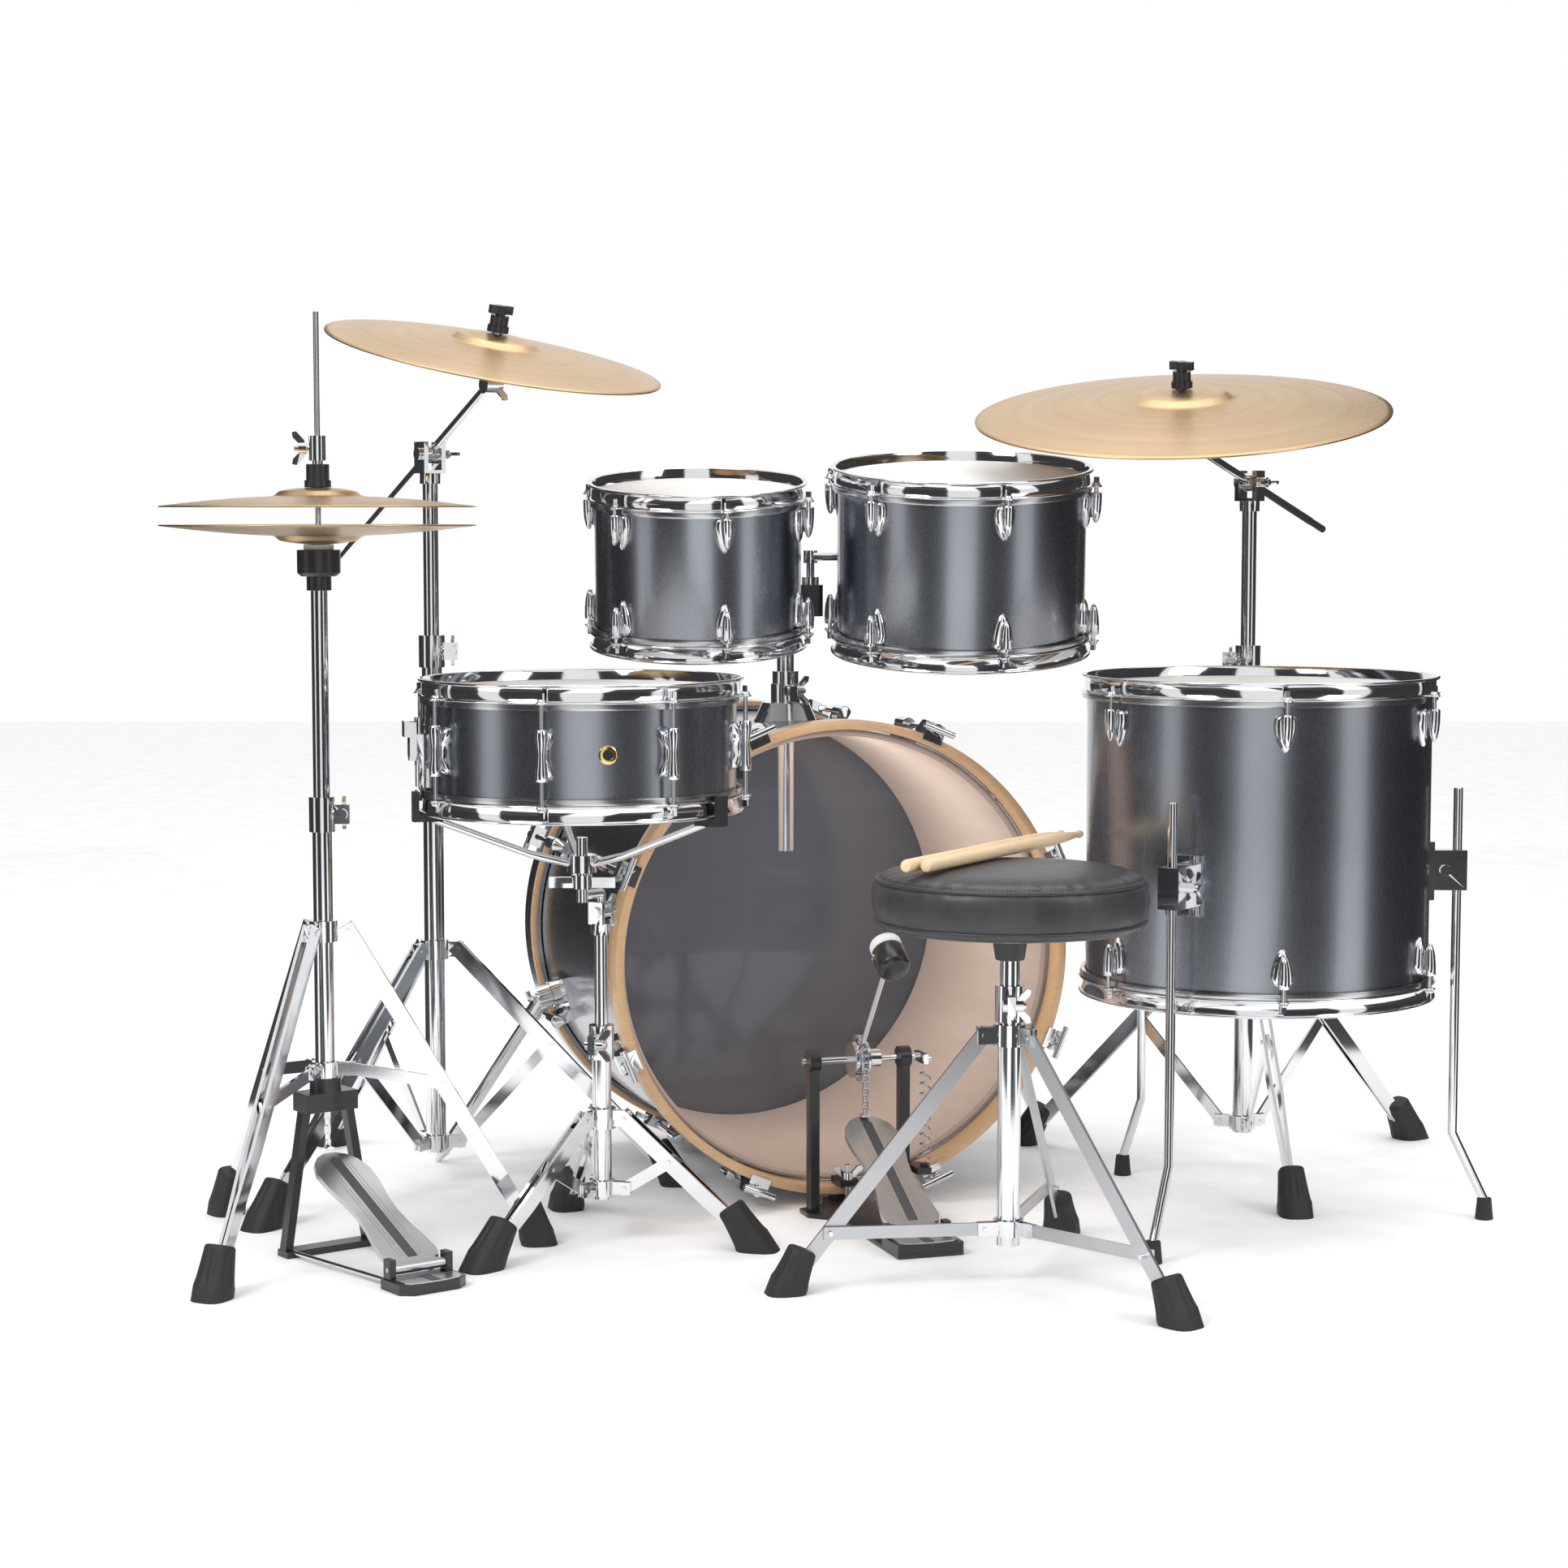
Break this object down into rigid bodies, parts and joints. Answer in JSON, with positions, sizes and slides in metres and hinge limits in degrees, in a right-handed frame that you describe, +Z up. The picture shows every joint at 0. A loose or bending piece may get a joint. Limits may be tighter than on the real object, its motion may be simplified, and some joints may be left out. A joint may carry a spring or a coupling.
{
  "type": "acoustic drum kit",
  "caption": "Acoustic drum kit in playing position: bass drum with pedal, rack toms, floor tom, snare, hi-hat, crash and ride cymbals on stands, throne and sticks.",
  "frame": {"origin": "on the floor, under the middle of the kit's bounding box", "axes": "+Z up, +Y away from the drummer, +X to the drummer's right (the kit's widest direction)"},
  "size_m": [1.5789, 1.1596, 1.0964],
  "materials": {
    "shell_wrap": "gloss gunmetal wrap on a wooden shell",
    "maple_hoop": "satin lacquer",
    "bass_head_film": "clear smoked film",
    "coated_film": "coated film",
    "chrome": "mirror",
    "black_casting": "satin black",
    "board_alloy": "satin",
    "beater_black": "satin",
    "spring_steel": "bright",
    "foot_rubber": "matt",
    "cymbal_bronze": "lathed satin",
    "seat_vinyl": "soft grained vinyl",
    "hickory": "bare"
  },
  "bodies": {
    "kit": {"bass_shell": "shell_wrap", "bass_hoops": "maple_hoop", "bass_heads": "bass_head_film", "bass_lugs_and_claws": "chrome", "tom_mount_base": "chrome", "pedal_frame": "black_casting", "pedal_spring": "spring_steel", "floor_tom_shell": "shell_wrap", "floor_tom_heads": "coated_film", "floor_tom_hoops": "chrome", "floor_tom_lugs": "chrome", "hihat_tripod": "chrome", "hihat_pedal_frame": "black_casting", "crash_tripod": "chrome", "ride_tripod": "chrome", "snare_tripod": "chrome", "throne_tripod": "chrome", "rubber_feet": "foot_rubber"},
    "spur_left": {"bass_spur_left": "chrome"},
    "spur_right": {"bass_spur_right": "chrome"},
    "tom_post": {"tom_post": "black_casting"},
    "arm_small": {"tom_arm_small": "chrome"},
    "arm_large": {"tom_arm_large": "chrome"},
    "small_tom": {"tom_small_shell": "shell_wrap", "tom_small_heads": "coated_film", "tom_small_hoops": "chrome", "tom_small_lugs": "chrome"},
    "large_tom": {"tom_large_shell": "shell_wrap", "tom_large_heads": "coated_film", "tom_large_hoops": "chrome", "tom_large_lugs": "chrome"},
    "pedal_board": {"pedal_footboard": "board_alloy"},
    "beater": {"pedal_beater": "beater_black"},
    "pedal_chain": {"pedal_chain": "beater_black"},
    "leg_front": {"floor_tom_leg_front": "chrome"},
    "leg_right": {"floor_tom_leg_right": "chrome"},
    "leg_rear": {"floor_tom_leg_rear": "chrome"},
    "snare_post": {"snare_stand_post": "chrome"},
    "snare": {"snare_basket": "chrome", "snare_shell": "shell_wrap", "snare_heads": "coated_film", "snare_hoops": "chrome", "snare_lugs": "chrome", "snare_strainer": "chrome"},
    "throw_lever": {"snare_throw_lever": "chrome"},
    "hihat_board": {"hihat_footboard": "board_alloy"},
    "hihat_rod": {"hihat_pull_rod": "chrome"},
    "hihat_top": {"hihat_clutch": "chrome", "hihat_top_cymbal": "cymbal_bronze"},
    "hihat_tube": {"hihat_upper_tube": "chrome", "hihat_bottom_cymbal": "cymbal_bronze"},
    "crash_tube": {"crash_upper_tube": "chrome"},
    "crash_boom": {"crash_boom": "chrome"},
    "crash_cymbal": {"crash_cymbal": "cymbal_bronze"},
    "ride_tube": {"ride_upper_tube": "chrome"},
    "ride_boom": {"ride_boom": "chrome"},
    "ride_cymbal": {"ride_cymbal": "cymbal_bronze"},
    "throne_post": {"throne_post": "chrome"},
    "throne_seat": {"throne_seat": "seat_vinyl"},
    "sticks": {"drumsticks": "hickory"}
  },
  "joints": [
    {"name": "spur_left_fold", "type": "hinge", "parent": "kit", "child": "spur_left", "pos_m": [-0.39582, 0.25131, 0.22366], "axis": [-0.9187, -0.2985, -0.2588], "range_deg": [-60, 0]},
    {"name": "spur_right_fold", "type": "hinge", "parent": "kit", "child": "spur_right", "pos_m": [0.17448, 0.43661, 0.22366], "axis": [0.9187, 0.2985, -0.2588], "range_deg": [0, 60]},
    {"name": "tom_post_height", "type": "slide", "parent": "kit", "child": "tom_post", "axis": [0, 0, 1], "range_m": [0, 0.03]},
    {"name": "small_tom_swivel", "type": "hinge", "parent": "tom_post", "child": "arm_small", "pos_m": [-0.11486, 0.25836, 0.736], "axis": [0, 0, 1], "range_deg": [-18, 0]},
    {"name": "small_tom_tilt", "type": "hinge", "parent": "arm_small", "child": "small_tom", "pos_m": [-0.12476, 0.23796, 0.786], "axis": [-0.8996, 0.4366, 0], "range_deg": [0, 10]},
    {"name": "large_tom_swivel", "type": "hinge", "parent": "tom_post", "child": "arm_large", "pos_m": [-0.05086, 0.25836, 0.736], "axis": [0, 0, 1], "range_deg": [0, 18]},
    {"name": "large_tom_tilt", "type": "hinge", "parent": "arm_large", "child": "large_tom", "pos_m": [0.00237, 0.21032, 0.792], "axis": [-0.6701, -0.7423, 0], "range_deg": [0, 6]},
    {"name": "pedal_press", "type": "hinge", "parent": "kit", "child": "pedal_board", "pos_m": [0.06856, -0.20765, 0.022], "axis": [-0.9511, -0.309, 0], "range_deg": [0, 7.2], "stiffness_Nm_per_rad": 6, "springref_deg": -20.05},
    {"name": "beater_swing", "type": "hinge", "parent": "kit", "child": "beater", "pos_m": [0.00552, -0.01364, 0.188], "axis": [-0.9511, -0.309, 0], "range_deg": [0, 52.8], "deforming": ["pedal_spring"]},
    {"name": "chain_pull", "type": "slide", "parent": "kit", "child": "pedal_chain", "axis": [0, 0, -1], "range_m": [0, 0.02362]},
    {"name": "floor_tom_leg_front_height", "type": "slide", "parent": "kit", "child": "leg_front", "axis": [0, 0, 1], "range_m": [0, 0.12]},
    {"name": "floor_tom_leg_right_height", "type": "slide", "parent": "kit", "child": "leg_right", "axis": [0, 0, 1], "range_m": [0, 0.12]},
    {"name": "floor_tom_leg_rear_height", "type": "slide", "parent": "kit", "child": "leg_rear", "axis": [0, 0, 1], "range_m": [0, 0.12]},
    {"name": "snare_height", "type": "slide", "parent": "kit", "child": "snare_post", "axis": [0, 0, 1], "range_m": [-0.004, 0.018]},
    {"name": "snare_tilt", "type": "hinge", "parent": "snare_post", "child": "snare", "pos_m": [-0.29669, -0.17389, 0.388], "axis": [0.5446, 0.8387, 0], "range_deg": [-6, 6]},
    {"name": "throw_off", "type": "hinge", "parent": "snare", "child": "throw_lever", "pos_m": [-0.50358, -0.23903, 0.579], "axis": [0.225, -0.9744, 0], "range_deg": [0, 70]},
    {"name": "hihat_press", "type": "hinge", "parent": "kit", "child": "hihat_board", "pos_m": [-0.48772, -0.38241, 0.022], "axis": [-0.7986, -0.6018, 0], "range_deg": [0, 5.4], "stiffness_Nm_per_rad": 30, "springref_deg": -20.05},
    {"name": "hihat_pull", "type": "slide", "parent": "kit", "child": "hihat_rod", "axis": [0, 0, -1], "range_m": [0, 0.01896]},
    {"name": "hihat_height", "type": "slide", "parent": "kit", "child": "hihat_tube", "axis": [0, 0, 1], "range_m": [-0.04, 0.06]},
    {"name": "hihat_clutch_height", "type": "slide", "parent": "hihat_rod", "child": "hihat_top", "axis": [0, 0, 1], "range_m": [-0.04, 0.06]},
    {"name": "crash_height", "type": "slide", "parent": "kit", "child": "crash_tube", "axis": [0, 0, 1], "range_m": [-0.02, 0.12]},
    {"name": "crash_boom_tilt", "type": "hinge", "parent": "crash_tube", "child": "crash_boom", "pos_m": [-0.52469, 0.14211, 0.921], "axis": [-0.8195, -0.5731, 0], "range_deg": [-2, 14]},
    {"name": "crash_cymbal_rock", "type": "hinge", "parent": "crash_boom", "child": "crash_cymbal", "pos_m": [-0.42833, 0.00977, 1.05994], "axis": [0.8195, 0.5731, 0], "range_deg": [-5, 5], "stiffness_Nm_per_rad": 2},
    {"name": "ride_height", "type": "slide", "parent": "kit", "child": "ride_tube", "axis": [0, 0, 1], "range_m": [-0.01, 0.12]},
    {"name": "ride_boom_tilt", "type": "hinge", "parent": "ride_tube", "child": "ride_boom", "pos_m": [0.51331, 0.27011, 0.887], "axis": [-0.8425, 0.5387, 0], "range_deg": [-2, 20]},
    {"name": "ride_cymbal_rock", "type": "hinge", "parent": "ride_boom", "child": "ride_cymbal", "pos_m": [0.4022, 0.08766, 0.99695], "axis": [0.8425, -0.5387, 0], "range_deg": [-5, 5], "stiffness_Nm_per_rad": 2},
    {"name": "throne_height", "type": "slide", "parent": "kit", "child": "throne_post", "axis": [0, 0, 1], "range_m": [-0.02, 0.1]},
    {"name": "seat_swivel", "type": "hinge", "parent": "throne_post", "child": "throne_seat", "pos_m": [0.16331, -0.36789, 0.396], "axis": [0, 0, 1], "continuous": true},
    {"name": "sticks_lift", "type": "slide", "parent": "throne_post", "child": "sticks", "axis": [0, 0, 1], "range_m": [0, 0.15]}
  ],
  "couplings": [
    {"joint": "beater_swing", "follows": "pedal_press", "ratio": 7.3333},
    {"joint": "chain_pull", "follows": "pedal_press", "m_per_rad": 0.184},
    {"joint": "hihat_pull", "follows": "hihat_press", "m_per_rad": 0.198},
    {"joint": "hihat_clutch_height", "follows": "hihat_height", "ratio": 1}
  ]
}
